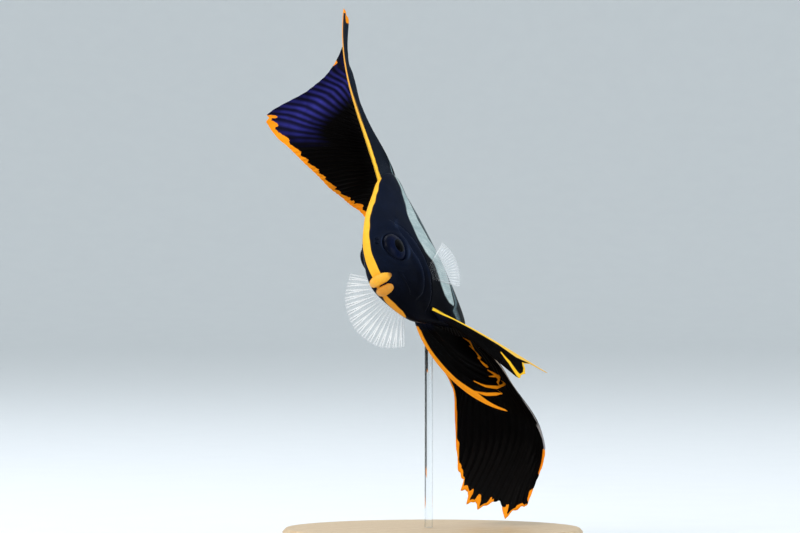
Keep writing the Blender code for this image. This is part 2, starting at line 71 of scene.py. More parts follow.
# Bend to the right: height z, length s where it starts, radius, whole angle in degrees
BENDS = [
    (-98, 34, 8, 118),
    (-74, 47.2, 9, 117),
    (-55, 42.6, 14, 115),
    (-45, 40.2, 16, 112),
    (-27, 30, 21, 106),
    (0, 27.6, 22.4, 102),
    (24, 31, 22, 105),
    (33, 37.2, 18, 108),
    (42, 40.6, 11, 112),
    (54, 41.6, 7, 116),
    (63.7, 43.6, 6, 119),
    (71.6, 47.9, 5.4, 120),
    (81, 52.3, 5, 120),
    (98, 69.2, 4, 120),
]

# Fin rays: share of the way through the fin, body ring or height of the root, two guides
# and the tip, in (s, z) for the middle fins and (s, y outwards, z) for the paired ones
DORSAL_RAYS = [
    (0.00, 8, (42.9, 58.5), (39.8, 75.1), (67, 97.5)),
    (0.10, 8.3, (38.5, 50), (46, 66), (63.2, 81.3)),
    (0.22, 8.8, (42, 50), (54, 64), (72.2, 76.7)),
    (0.36, 9.4, (46, 46), (60, 60), (91.2, 75)),
    (0.44, 9.7, (48.5, 43), (62.6, 55.8), (80.5, 61.2)),
    (0.56, 10.2, (52.2, 37.6), (65.6, 48), (77, 50.9)),
    (0.75, 11, (56, 29), (65.2, 34.6), (77.9, 36.8)),
    (0.83, 11.4, (57.4, 23.4), (65, 28.2), (76.7, 31.9)),
    (0.90, 11.8, (58, 19), (63.2, 22), (72.3, 27.6)),
    (1.00, 12.5, (57.6, 13.2), (59.8, 14.2), (65.6, 20)),
]
ANAL_RAYS = [
    (0.00, 8.1, (44.9, -36.8), (51.9, -54.8), (49.7, -81.6)),
    (0.10, 8.4, (43, -40), (49.6, -58), (51.3, -90.3)),
    (0.24, 8.9, (46, -40), (54, -58), (55.2, -97.1)),
    (0.38, 9.4, (49, -38), (59, -56), (69, -92.1)),
    (0.52, 10, (52, -34), (64, -49), (83.4, -86.1)),
    (0.68, 10.7, (55, -28), (65.6, -39), (91.4, -71.6)),
    (0.84, 11.5, (57, -19), (64, -27.6), (80.4, -51.9)),
    (1.00, 12.7, (57.6, -5.6), (60, -7.6), (63, -13)),
]
CAUDAL_RAYS = [
    (0.00, 9, (63.4, 11.6), (67.6, 15.2), (71.6, 19.4)),
    (0.50, 4.4, (64.4, 4.4), (68.6, 4.4), (72.8, 4.4)),
    (1.00, -0.2, (63.4, -2.8), (67.6, -6.4), (71.6, -10.6)),
]
PELVIC_ROOT = ((15.8, -15.6), (20.6, -20.6))
PELVIC_LEFT_RAYS = [
    (0, (24.5, 9, -27.1), (35.9, 12.6, -42.4), (54.2, 11.4, -57.3)),
    (0.2, (22.1, 7.9, -27.2), (29.3, 11, -40.4), (41.4, 10.6, -53.4)),
    (0.4, (21.7, 7.3, -28.2), (27.3, 10.1, -41.1), (36.8, 10.2, -53.7)),
    (0.6, (22.2, 6.5, -27.7), (26.9, 9.1, -38.4), (34.6, 9.6, -49)),
    (0.8, (22.8, 5.7, -27.3), (26.8, 8, -36.1), (32.9, 8.8, -44.9)),
    (1, (23.1, 4.8, -26.5), (26, 6.6, -33), (30.3, 7.4, -39.5)),
]
PELVIC_RIGHT_RAYS = [
    (0, (16, 8.4, -23.4), (25.9, 12, -50.1), (45.6, 6.4, -63)),
    (0.2, (19.1, 7.4, -23.4), (29.3, 10.3, -45.4), (47.5, 5.8, -56.4)),
    (0.4, (22.1, 6.6, -24.1), (33.4, 9.2, -44), (51.7, 5.2, -54.1)),
    (0.6, (23.8, 5.8, -24.7), (34.4, 7.9, -41.4), (50.4, 4.8, -50.4)),
    (0.8, (24.6, 4.9, -24.9), (33.4, 6.6, -37.5), (46.1, 4.6, -44.8)),
    (1, (25.8, 4.1, -22.7), (33.1, 5.3, -28.9), (42.5, 4.4, -32.1)),
]
PECTORAL_ROOT = ((21.6, -2.4), (21, -6.6))
PECTORAL_LENGTHS = {1: 17, -1: 21.6}
# Lift of the first pectoral ray and turn to the last, in degrees, and where they point
PECTORAL_LIFTS = {1: (24, -50), -1: (38, -104)}
PECTORAL_OUT = {1: Vector((0.99, 0.06, 0)), -1: Vector((-0.22, 0.97, 0))}
PECTORAL_UP = Vector((0.25, 0.08, 1))

# Head
EYE_AT = (10.4, 9.6)
EYE_RADIUS = 5.6
EYE_HALF_DEPTH = 2.6
EYE_SINK = 1.1
PUPIL_RADIUS = 2.5
LID_GLINT = math.radians(135)
NOSTRILS = [(4.9, 14.2, 0.5), (6.0, 15.3, 0.6)]
LIP_UPPER = ((3.6, 4.0, 1.5, 1.6), (1.2, 3.1, 1.8, 1.95), (-0.6, 0.0, 1.95, 2.15))
LIP_LOWER = ((2.5, 2.6, -1.5, 1.6), (0.7, 1.9, -1.8, 1.9), (-0.4, 0.0, -1.95, 2.1))
LIP_PRESS = 0.85
PREOPERCLE = [(19.4, 20), (17.4, 14.6), (17.2, 6.4), (17.4, 0), (16, -5), (12.6, -9.4), (7.4, -10.4)]
GILL_EDGE = [(17, 20), (20, 14), (21.4, 7), (21.2, 0), (19.4, -7), (16.4, -12.6), (12, -16)]
JAW_FOLD = [(4.4, 1.2), (5.4, -1.6), (6.6, -5.4), (6.4, -8.4)]
CHEEK_FOLD = [(16.6, 15.6), (18.4, 17.4), (22, 19.4)]
LATERAL_LINE = [(19.6, 17.6), (26, 22.6), (34, 25.2), (42, 22), (48, 15), (53, 7.6), (59, 4.4)]

# Markings on the flank, as lengths s at heights z: where the black mask ends, and where the
# pale bar behind it ends
MASK_END = [
    (-28, 34.4), (-21, 32.3), (-19, 30.4), (-17.2, 28.3), (-14, 27), (-10.1, 26.5), (-6.4, 27.1),
    (-1.4, 27.4), (3.2, 24.8), (8.4, 25.2), (16.3, 28.2), (23.8, 34.2), (28.4, 37.8), (33, 40.8),
    (36, 42.6),
]
BAR_END = [
    (-28, 34.4), (-21, 32.3), (-18, 31.2), (-15, 31.6), (-11, 33.6), (-7, 35.6), (-3.3, 36.6), (1.1, 37),
    (6.7, 33.6), (15, 34.2), (19, 36.5), (23.1, 38.6), (28, 40.2), (33, 42), (36, 43.6),
]
CREST_LINE = [
    (-3, 2.1), (0, 1.9), (4, 1.65), (8.2, 1.5), (13.2, 1.3), (19.3, 1.5), (26, 1.2), (31, 0.9), (33, 0.7),
    (34.5, -1),
]
CHIN_LINE = [(-3, 0.6), (0.2, 1), (1.6, 1.7), (3.4, 1.8), (4.8, 1.1), (6.2, -0.3)]
CHIN_ASIDE = 1.4

# Edges and marks of the fins: border and teeth by share k along the fin, as the width of the
# bright border and the depth cut from the edge; line by share t along the leading ray, as its
# width; streaks with half a width and places (k, t); steps from k on, their spacing and height
DORSAL_MARKS = {
    "border": [
        (0, 1.8), (0.012, 1.8), (0.02, 0.3), (0.026, 1.9), (0.04, 1.9), (0.046, -0.5), (0.096, -0.5),
        (0.105, 1.7), (0.114, -0.5), (0.335, -0.5), (0.36, 0.8), (0.39, 1), (0.42, 1), (0.9, 0.9),
        (1, 0.8),
    ],
    "teeth": [
        (0, 0), (0.02, -0.3), (0.034, -0.8), (0.047, 0.2), (0.06, 1), (0.08, 0.4), (0.1, 0), (0.345, 0),
        (0.36, 1.2), (0.372, 0), (1, 0),
    ],
    "line": [(0, 0.9), (0.15, 0.5), (0.35, 0.22), (0.6, 0.12), (1, 0.1)],
    "streaks": [(0.45, [(0.35, 1), (0.352, 0.95)]), (0.55, [(0.372, 1), (0.38, 0.945)])],
    "steps": (0.3415, 0.0505, 1.2),
    "pale_streaks": [(0.3, [(0.45, 0), (0.4, 0.06), (0.42, 0.2), (0.5, 0.33)])],
}
ANAL_MARKS = {
    "border": [
        (0, -0.4), (0.012, 1.7), (0.03, 1.6), (0.09, 0.8), (0.098, -0.5), (0.15, -0.5), (0.156, 1.6),
        (0.195, 1), (0.205, -0.2), (0.217, 0.5), (0.25, 0.6), (0.278, 2), (0.292, 0.5), (0.324, 1),
        (0.334, 3.8), (0.342, 0.1), (0.35, -0.3), (0.39, -0.3), (0.408, 2.1), (0.425, 0.6),
        (0.455, 0.8), (0.476, 2.3), (0.49, 0.6), (0.517, 1), (0.536, 2.2), (0.546, 0.5), (0.59, 1.7),
        (0.6, 0.4), (0.668, 1.8), (0.678, 0.4), (0.745, 1.3), (0.757, 0.4), (0.82, 0.9), (0.86, 0.6),
        (1, 0.5),
    ],
    "teeth": [
        (0, 0), (0.12, 0.4), (0.2, 0), (0.218, -0.4), (0.25, 0.3), (0.3, -0.5), (0.322, -2),
        (0.345, 0.4), (0.37, 1.1), (0.4, 0.6), (0.45, -0.3), (0.48, 0.8), (0.517, -0.2), (0.55, 0.8),
        (0.59, -0.4), (0.605, 0.5), (0.67, -0.3), (0.69, 0.4), (0.75, -0.2), (0.765, 0.4), (0.85, 0),
        (1, 0),
    ],
    "line": [(0, 0.3), (0.5, 0.4), (1, 0.5)],
}
PELVIC_LEFT_MARKS = {
    "border": [(0, 0), (0.2, 0.6), (0.36, 0.6), (0.44, -0.3), (1, -0.3)],
    "teeth": [
        (0, 0), (0.014, 0.6), (0.03, 7.2), (0.095, 6.4), (0.143, 2.8), (0.2, 0), (0.35, 0), (0.6, 0.8),
        (1, 0.5),
    ],
    "line": [(0, -0.5), (0.01, -0.5), (0.03, 0.45), (0.6, 0.75), (0.78, 1.5), (0.86, 0.7), (1, 0.5)],
    "streaks": [
        (0.85, [(0.15, 0.7), (0.217, 0.838), (0.325, 0.954), (0.33, 0.99)]),
        (0.7, [(0.33, 0.99), (0.2, 0.99), (0.143, 0.933), (0.095, 0.854)]),
    ],
}
PELVIC_RIGHT_MARKS = {
    "border": [
        (0, 0.3), (0.03, -0.3), (0.17, -0.3), (0.2, 0.5), (0.26, -0.3), (0.35, -0.3), (0.385, 0.5),
        (0.47, 0.4), (0.5, -0.3), (1, -0.3),
    ],
    "teeth": [
        (0, 0), (0.05, 1.5), (0.1, 4), (0.15, 1.5), (0.2, 0), (0.24, 2.5), (0.3, 1), (0.4, 0),
        (0.5, 1.2), (0.6, 0), (0.7, 1), (0.8, 0), (0.9, 0.8), (1, 0),
    ],
    "line": [
        (0.1, -0.4), (0.167, 0.9), (0.34, 1), (0.53, 1.5), (0.63, 1.7), (0.71, 2.2), (0.8, 2.6),
        (0.87, 1.6), (0.93, 1), (1, 0.5),
    ],
    "streaks": [
        (0.6, [(0.1, 0.78), (0.13, 0.87), (0.195, 0.99)]),
        (0.7, [(0.223, 0.77), (0.233, 0.862), (0.297, 0.965), (0.385, 0.985), (0.47, 0.985)]),
        (0.5, [(0.297, 0.965), (0.4, 0.93), (0.5, 0.955), (0.598, 0.985)]),
        (0.5, [(0.7, 0.92), (0.6, 0.955), (0.482, 0.958)]),
        (0.45, [(0.495, 0.87), (0.58, 0.95), (0.598, 0.985)]),
        (0.6, [(0.985, 0.88), (0.958, 0.96), (0.917, 0.97), (0.86, 0.965), (0.84, 0.9)]),
        (0.4, [(0.93, 0.9), (0.9, 0.96), (0.88, 0.99)]), (0.5, [(0.83, 0.92), (0.772, 0.965)]),
    ],
}
NO_MARK = [(0, -1), (1, -1)]
NO_TEETH = [(0, 0), (1, 0)]

# Photo: the picture is 800 by 533, and the snout is at SNOUT_PIXEL
PICTURE = (800, 533)
SNOUT_PIXEL = (382, 285)
PIXELS_PER_MM = 2.78
CAMERA_DISTANCE = 1600.0
SENSOR = 36.0
CLIP = (0.05, 50.0)

# Sizes of the meshes
LAST_RING = len(RINGS) - 1
RING_SAMPLES = 400
SKIN_STEPS = 290
SKIN_COLUMNS = 146
CREST_COLUMNS = 3
LIP_STEPS = 70
LIP_SIDES = 28
EYE_STEPS = 40
EYE_SIDES = 72
STREAK_STEPS = 60

# Skin's own forms: folds have a depth and a width, rounding rings a scale and a shift
DOME = 0.25
LID_HEIGHT = 0.15
SOCKET_DEPTH = 1.7
EYE_HOLLOW = 0.2
NOSTRIL_RIM = 0.22
NOSTRIL_DEPTH = 0.7
# Edges: curve, fading share, step (height, start, width, length, fade), groove (depth, at, width)
EDGES = ((PREOPERCLE, 0.12, (0.28, 0, 0.5, 4.5, 4), (0.24, 0.3, 0.4)),
         (GILL_EDGE, 0.1, (0.5, 0.1, 0.35, 6, 6), (0.35, 0.45, 0.45)))
FOLDS = ((JAW_FOLD, 0.4, 0.5), (CHEEK_FOLD, 0.25, 0.6))
BEAD_HEIGHT = 0.12
BEADS = 46
PECTORAL_BASE = 0.55
SNOUT_RINGS = [(0.4, -0.78), (0.75, -0.62), (0.93, -0.35)]
TAIL_RINGS = [(0.9, -0.1), (0.6, -0.2)]
LIP_END_STEP = 0.22
CORNEA_BULGE = 0.25

# Forms of every fin; ray width and spread are shares of the space between two rays
ROOT_SINK = 0.9
LEAD_WIDTH = 0.6
RAY_WIDTH = 0.13
BRANCH_SPREAD = 0.2
EDGE_GATHER = 0.8
STREAK_POINT = 0.35

# Each fin: rays, steps along a ray, columns to a ray, half thickness at root and edge, height
# of pleats, rays and leading edge, depth cut between rays
FIN_SIZES = {
    "dorsal": (42, 110, 6, 0.56, 0.12, 0.3, 0.08, 0.05, 0.1),
    "anal": (30, 120, 9, 0.62, 0.14, 0.2, 0.1, 0.12, 0.3),
    "caudal": (17, 40, 6, 0.5, 0.1, 0.08, 0.1, 0.15, 0.3),
    "pelvic": (6, 100, 20, 0.5, 0.14, 0.12, 0.12, 0.1, 0.6),
    "pectoral": (18, 60, 8, 0.4, 0.07, 0.1, 0.09, 0.12, 0.3),
}

# Studio, in metres; lights have a size, a place from AIM (ahead, aside, up), power and tint
FLOOR_SIDES = 96
FLOOR_FLAT = 4.0
FLOOR_CURVE = 1.6
FLOOR_TOP = (5.7, 4.0)
AIM = Vector((0, 0, 0.11))
SURROUND = 0.95
LIGHTS = (("key", 0.9, (1, -0.9, 1.1), 16, "#fff6ea"),
          ("fill", 1.2, (1.1, 1.2, 0.4), 9, "#f2f7ff"),
          ("sky", 1.4, (-0.5, -0.7, 1.6), 14, "#eaf1ff"))


# Smooth curves and the pose
def catmull(points, t):
    """Point at parameter t of the smooth curve through the points, one unit apart."""
    points = np.asarray(points, float)
    t = np.clip(np.asarray(t, float), 0, len(points) - 1)
    i = np.minimum(t.astype(int), len(points) - 2)
    f = (t - i)[..., None]
    before = points[np.maximum(i - 1, 0)]
    after = points[np.minimum(i + 2, len(points) - 1)]
    a, b = points[i], points[i + 1]
    return 0.5 * (2 * a + (b - before) * f + (2 * before - 5 * a + 4 * b - after) * f ** 2
                  + (3 * a - before - 3 * b + after) * f ** 3)


def at_stations(stations, x):
    """Smooth values at x of rows (x, values...)."""
    rows = np.asarray(stations, float)
    x = np.clip(np.asarray(x, float), rows[0, 0], rows[-1, 0])
    return catmull(rows[:, 1:], np.interp(x, rows[:, 0], np.arange(len(rows))))


def value_at(stations, x):
    """Value at x of rows (x, value), in straight steps."""
    rows = np.asarray(stations, float)
    return np.interp(x, rows[:, 0], rows[:, 1])


def bend(points):
    """Straight fish points carried round the bend to its right."""
    s, y, z = (points[..., i] for i in range(3))
    row = at_stations(BENDS, z)
    start, radius, limit = row[..., 0], row[..., 1], np.radians(row[..., 2])
    past = np.maximum(s - start, 0)
    angle = np.minimum(past / radius, limit)
    rest = np.maximum(past - radius * limit, 0)
    along = np.minimum(s, start) + radius * np.sin(angle) + rest * np.cos(angle)
    right = radius * (1 - np.cos(angle)) + rest * np.sin(angle)
    return np.stack([along + y * np.sin(angle), y * np.cos(angle) - right, z], -1)


def pose(points, bent=True):
    """Straight fish points to world points, both in millimetres."""
    points = np.asarray(points, float)
    if bent:
        points = bend(points)
    level = np.stack([points[..., 1], points[..., 0], points[..., 2]], -1)
    turn = np.array(Matrix.Rotation(math.radians(ROLL), 3, TOWARD))
    return level @ turn.T + np.array(SNOUT_AT)


def hump(distance, width):
    """1 at distance 0, falling smoothly to nothing over about twice the width."""
    return np.exp(-(distance / width) ** 2)


def rise(x, width=1.0):
    """0 below 0, 1 above the width, smooth between."""
    t = np.clip(np.asarray(x, float) / width, 0, 1)
    return t * t * (3 - 2 * t)


def fade(share, first, last):
    """1 along a curve, falling to 0 at its two ends over these shares of it."""
    return rise(share, first) * rise(1 - share, last)


def from_curve(points, s, z):
    """Distance from a curve in the side view, signed, and the share of the way along it."""
    line = catmull(points, np.linspace(0, len(points) - 1, 90))
    along = np.gradient(line, axis=0)
    best = np.full(s.shape, 1e9)
    signed = np.zeros(s.shape)
    share = np.zeros(s.shape)
    for number, (place, ahead) in enumerate(zip(line, along / np.linalg.norm(along, axis=1)[:, None])):
        ds, dz = s - place[0], z - place[1]
        squared = ds * ds + dz * dz
        nearer = squared < best
        best = np.where(nearer, squared, best)
        signed = np.where(nearer, ahead[0] * dz - ahead[1] * ds, signed)
        share = np.where(nearer, number / (len(line) - 1), share)
    return np.sqrt(best) * np.where(signed < 0, -1, 1), share


# Meshes
def placed(name, data):
    """Adds an object with this data to the scene."""
    item = bpy.data.objects.new(name, data)
    bpy.context.scene.collection.objects.link(item)
    return item


def new_mesh(name, vertices, faces, material):
    """A smooth mesh of one material from points in metres."""
    mesh = bpy.data.meshes.new(name)
    mesh.from_pydata(vertices.tolist(), [], faces)
    mesh.materials.append(material)
    mesh.shade_smooth()
    return mesh


def new_piece(name, vertices, faces, attributes, material):
    """A mesh piece from millimetre points, riding on the one body."""
    mesh = new_mesh(name, np.asarray(vertices, float) * MM, faces, material)
    for label, values in attributes.items():
        values = np.asarray(values, np.float32)
        kind = "FLOAT_VECTOR" if values.ndim == 2 else "FLOAT"
        field = mesh.attributes.new(label, kind, "POINT")
        field.data.foreach_set("vector" if values.ndim == 2 else "value", values.ravel())
    item = placed(name, mesh)
    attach(item, "root")
    return item


def tube(rings, ends=None):
    """Vertices and faces of rings closed by a point at each end, or else by the rings' middles."""
    rows, count = rings.shape[:2]
    faces = []
    for i in range(rows - 1):
        for j in range(count):
            k = (j + 1) % count
            faces.append((i * count + j, (i + 1) * count + j, (i + 1) * count + k, i * count + k))
    first, last = rows * count, rows * count + 1
    for j in range(count):
        k = (j + 1) % count
        faces.append((first, j, k))
        faces.append((last, (rows - 1) * count + k, (rows - 1) * count + j))
    if ends is None:
        ends = [rings[0].mean(0), rings[-1].mean(0)]
    return np.concatenate([rings.reshape(-1, 3), ends]), faces


# Body
RING_VALUES = np.array([(*top, *bottom, wide, bow) for top, bottom, wide, bow in RINGS])


def body_ring(u, v):
    """Side-view place and half width of the body at ring u, v from belly 0 to back 1."""
    row = catmull(RING_VALUES, u)
    top, bottom = row[..., 0:2], row[..., 2:4]
    wide, bow = row[..., 4], row[..., 5]
    v = np.asarray(v, float)
    side = bottom + (top - bottom) * v[..., None]
    s = side[..., 0] + bow * 4 * v * (1 - v)
    half = CREST_HALF_WIDTH + (wide - CREST_HALF_WIDTH) * np.sin(np.pi * v) ** SECTION_POWER
    return s, side[..., 1], half


def crest(u, back, lift):
    """Points on the back's or the belly's midline at ring u, lifted off it by a distance."""
    u = np.asarray(u, float)
    first = 0 if back else 2
    place = catmull(RING_VALUES, u)[..., first:first + 2]
    step = 0.02
    along = catmull(RING_VALUES, u + step)[..., first:first + 2]
    along = along - catmull(RING_VALUES, u - step)[..., first:first + 2]
    along = along / np.linalg.norm(along, axis=-1)[..., None]
    outward = np.stack([-along[..., 1], along[..., 0]], -1) * (1 if back else -1)
    return place + outward * lift


GRID_U, GRID_V = np.meshgrid(np.linspace(0, LAST_RING, 211), np.linspace(0, 1, 101))
GRID_S, GRID_Z, GRID_HALF = body_ring(GRID_U, GRID_V)


def skin_half_width(s, z):
    """Half width of the body where its side view has (s, z)."""
    distance = (GRID_S - s) ** 2 + (GRID_Z - z) ** 2
    near = np.argsort(distance, axis=None)[:4]
    weight = 1 / (distance.ravel()[near] + 1e-6)
    return float((GRID_HALF.ravel()[near] * weight).sum() / weight.sum())


def skin_relief(s, z, side):
    """Height of the skin's own forms over the smooth body, in millimetres."""
    reach = np.hypot(s - EYE_AT[0], z - EYE_AT[1]) - EYE_RADIUS
    height = LID_HEIGHT * hump(reach - 0.4, 0.6)
    height -= SOCKET_DEPTH * rise(0.15 - reach, 0.9)
    height -= EYE_HOLLOW * hump(reach - 2.2, 1.1)
    for place_s, place_z, radius in NOSTRILS:
        gap = np.hypot(s - place_s, z - place_z) - radius
        height += NOSTRIL_RIM * hump(gap - 0.25, 0.25) - NOSTRIL_DEPTH * rise(0.1 - gap, 0.35)
    for curve, ends, (step, start, width, length, behind), (depth, at, wide) in EDGES:
        gap, share = from_curve(curve, s, z)
        edge = step * rise(start - gap, width) * rise(gap + length, behind)
        height += (edge - depth * hump(gap - at, wide)) * fade(share, ends, ends)
    for curve, depth, width in FOLDS:
        gap, share = from_curve(curve, s, z)
        height -= depth * hump(gap, width) * fade(share, 0.2, 0.25)
    gap, share = from_curve(LATERAL_LINE, s, z)
    beads = 0.6 + 0.4 * np.cos(2 * np.pi * share * BEADS)
    height += BEAD_HEIGHT * hump(gap, 0.35) * beads * fade(share, 0.03, 0.03)
    root_z = np.mean(PECTORAL_ROOT, axis=0)[1]
    gap = np.hypot((s - 21.0) / 1.3, (z - root_z) / 2.6)
    height += PECTORAL_BASE * hump(gap, 0.9)
    return np.where(np.abs(side) > 0.99, height, 0)


def skin_painted_light(s, z):
    """Share of painted grey-blue light: a glint on the lids' rim, highlights along the cheek's and gill's
    edges, and light high on the head.
    """
    reach, turn = np.hypot(s - EYE_AT[0], z - EYE_AT[1]), np.arctan2(z - EYE_AT[1], s - EYE_AT[0])
    tone = 0.6 * hump(reach - EYE_RADIUS - 0.1, 0.45) * np.cos(turn - LID_GLINT) ** 6
    for curve, weight in ((PREOPERCLE, 0.3), (GILL_EDGE, 0.2), (CHEEK_FOLD, 0.35)):
        gap, share = from_curve(curve, s, z)
        tone += weight * hump(gap + 0.4, 0.9) * fade(share, 0.4, 0.6)
    tone += 0.1 * rise(z + 4, 18)
    return np.clip(tone, 0, 1)


def low_shade(s, z):
    """Share of painted shade, black low on the head and over the gill cover, up to the pale bar."""
    below = rise(3 - z, 12)
    gill = rise(s - value_at(MASK_END, z) + 8, 7) * rise(12 - z, 10)
    return np.maximum(below, gill)


def ring_path(count, across):
    """Round one ring: v from belly to back, and side from 1 (left) to -1 (right)."""
    even = np.linspace(0, 1, count)
    v = 0.4 * even + 0.6 * (0.5 - 0.5 * np.cos(np.pi * even))
    strip = np.linspace(1, -1, across + 2)[1:-1]
    ring_v = np.concatenate([v, np.ones(across), v[::-1], np.zeros(across)])
    side = np.concatenate([np.ones(count), strip, -np.ones(count), -strip])
    return ring_v, side


def skin_grid():
    """Ring u, height v and side of every point of the skin, with rings evenly far apart."""
    rings = np.linspace(0, LAST_RING, RING_SAMPLES)
    middle = catmull(RING_VALUES, rings)
    steps = np.linalg.norm(np.diff(middle[:, [0, 1]] + middle[:, [2, 3]], axis=0), axis=1)
    travelled = np.concatenate([[0], np.cumsum(steps)])
    u = np.interp(np.linspace(0, travelled[-1], SKIN_STEPS), travelled, rings)
    v, side = ring_path(SKIN_COLUMNS, CREST_COLUMNS)
    u, v = np.meshgrid(u, v, indexing="ij")
    return u, v, np.broadcast_to(side, v.shape)


def skin_points(u, v, side):
    """Points of the skin, domed over back and belly, with its relief."""
    s, z, half = body_ring(u, v)
    domed = DOME * (1 - side ** 2)
    points = np.stack([s, side * half, z + np.where(v > 0.5, domed, -domed)], -1)
    around = np.roll(points, -1, 1) - np.roll(points, 1, 1)
    outward = np.cross(around, np.gradient(points, axis=0))
    outward /= np.linalg.norm(outward, axis=-1)[..., None]
    outward *= np.sign((outward[:, :, 1] * points[:, :, 1]).sum())
    return points + outward * skin_relief(s, z, side)[..., None]


def rounded_ends(points):
    """The skin's rings with those that round off its snout and its tail."""
    snout = [points[0] * (1, scale, scale) + (shift, 0, 0) for scale, shift in SNOUT_RINGS]
    centre = points[-1].mean(0)
    tail = [(points[-1] - centre) * (1, scale, scale) + centre - (shift, 0, 0)
            for scale, shift in TAIL_RINGS]
    return np.concatenate([snout, points, tail])


def skin_marks(vertices, ring, height):
    """Signed widths of the skin's markings, above 0 inside, its painted light and shade, and its scales'
    places.
    """
    s, y, z = vertices.T
    back = height > 0.5
    ripple = 0.07 * np.sin(s * 0.9 + z * 0.3) + 0.05 * np.sin(s * 0.5 - z * 0.8 + 2)
    arc = z - np.interp(ring, np.arange(LAST_RING + 1), RING_VALUES[:, 3])
    return {
        "crest_line": np.where(back, value_at(CREST_LINE, s) - np.abs(y) + ripple, -3),
        "chin_line": np.where(back, -3, value_at(CHIN_LINE, s) - np.abs(y + CHIN_ASIDE) + ripple),
        "into_bar": s - value_at(MASK_END, z) + 2 * ripple,
        "past_bar": s - value_at(BAR_END, z) + 2 * ripple + 4 * rise(-18 - z, 3),
        "skin_painted_light": skin_painted_light(s, z),
        "scale_place": np.stack([s + 0.12 * np.abs(z), arc, np.sign(y) * 40], -1),
        "low_shade": low_shade(s, z),
    }


def skin():
    """The whole skin of head, trunk and tail in one closed mesh."""
    u, v, side = skin_grid()
    vertices, faces = tube(rounded_ends(skin_points(u, v, side)))
    before = len(SNOUT_RINGS) * u.shape[1]
    after = len(TAIL_RINGS) * u.shape[1] + 2
    ring = np.concatenate([np.zeros(before), u.ravel(), np.full(after, LAST_RING)])
    height = np.concatenate([np.full(before, 0.5), v.ravel(), np.full(after, 0.5)])
    marks = skin_marks(vertices, ring, height)
    piece = new_piece("skin", pose(vertices), faces, marks, skin_material())
    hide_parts("head", "trunk", "tail_peduncle")


# Lips and eyes
def beyond(last, before, count):
    """Points straight on past the last point of a path, the nearest first."""
    ahead = (last - before) / np.linalg.norm(last - before)
    return [last + ahead * LIP_END_STEP * n for n in range(1, count)]


def lip_path(knots):
    """Middle line and radii of a lip, run on past its corners to blunt ends."""
    left = np.array(knots)
    right = left[::-1][1:] * (1, -1, 1, 1)
    row = catmull(np.concatenate([left, right]), np.linspace(0, 2 * len(knots) - 2, LIP_STEPS))
    path, radii = row[:, :3], row[:, 3]
    ends = np.sin(np.linspace(0.12, 1, 7) * np.pi / 2)
    back = beyond(path[0], path[1], len(ends))[::-1]
    front = beyond(path[-1], path[-2], len(ends))
    radii = np.concatenate([radii[0] * ends[:-1], radii, radii[-1] * ends[:-1][::-1]])
    return np.concatenate([back, path, front]), radii


def lip(name, knots, material):
    """A lip as a soft bar across the snout, pressed towards the other, with blunt corners."""
    path, radii = lip_path(knots)
    along = np.gradient(path, axis=0)
    along /= np.linalg.norm(along, axis=1)[:, None]
    side = np.cross(along[0], (0.0, 0.0, 1.0))
    rings = []
    turn = np.linspace(0, 2 * math.pi, LIP_SIDES, endpoint=False)
    for number, (point, ahead, radius) in enumerate(zip(path, along, radii)):
        side = side - ahead * side.dot(ahead)
        side /= np.linalg.norm(side)
        up = np.cross(ahead, side)
        crease = 1 + 0.012 * np.cos(number * 1.9) + 0.01 * np.cos(turn * 5 + number * 0.4)
        ring = (radius * crease * np.cos(turn))[:, None] * side
        ring = ring + (radius * crease * np.sin(turn))[:, None] * up
        ring[:, 2] *= np.where(ring[:, 2] * knots[0][2] < 0, LIP_PRESS, 1)
        rings.append(point + ring)
    vertices, faces = tube(np.array(rings))
    marks = {"corner": np.abs(vertices[:, 1])}
    piece = new_piece(name + "_flesh", pose(vertices), faces, marks, material)
    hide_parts(name)


def eye(side, word, material):
    """An eyeball with a bulging cornea, poles across the fish."""
    s, z = EYE_AT
    centre = np.array((s, side * (skin_half_width(s, z) - EYE_SINK), z))
    latitude = np.linspace(-math.pi / 2, math.pi / 2, EYE_STEPS + 2)[1:-1]
    turn = np.linspace(0, 2 * math.pi, EYE_SIDES, endpoint=False)
    latitude, turn = np.meshgrid(latitude, turn, indexing="ij")
    reach = EYE_RADIUS * np.cos(latitude)
    outward = EYE_HALF_DEPTH * np.sin(latitude)
    outward = outward + np.where(latitude > 0, CORNEA_BULGE * hump(reach, PUPIL_RADIUS * 1.1), 0)
    rings = np.stack([centre[0] + reach * np.cos(turn), centre[1] + side * outward,
                      centre[2] + reach * np.sin(turn)], -1)
    poles = [centre - (0, side * EYE_HALF_DEPTH, 0),
             centre + (0, side * (EYE_HALF_DEPTH + CORNEA_BULGE), 0)]
    vertices, faces = tube(rings, poles)
    marks = {"iris_radius": np.hypot(vertices[:, 0] - s, vertices[:, 2] - z),
             "iris_place": (vertices - centre) * (1, 0, 1)}
    piece = new_piece(f"eyeball_{word}", pose(vertices), faces, marks, material)
    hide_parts(f"eye_{word}")


# Fins
def ray_grid(rays, k, t, root):
    """Points at share t of the rays at share k, each a curve from its root to its tip."""
    rows = np.array([[ray[0], *(value for point in ray[-3:] for value in point)]
                     for ray in rays])
    row = at_stations(rows, k)
    width = row.shape[-1] // 3
    p = [root(k)] + [row[..., i * width:(i + 1) * width] for i in range(3)]
    if width == 2:
        p = [np.stack([q[..., 0], np.zeros(k.shape), q[..., 1]], -1) for q in p]
    t = t[..., None]
    return ((1 - t) ** 3 * p[0] + 3 * t * (1 - t) ** 2 * p[1]
            + 3 * t * t * (1 - t) * p[2] + t ** 3 * p[3])


def middle_root(rays, back):
    """Root of a fin on the body's midline, sunk into the crest."""
    rows = np.array([ray[:2] for ray in rays])
    return lambda k: crest(at_stations(rows, k)[..., 0], back, -ROOT_SINK)


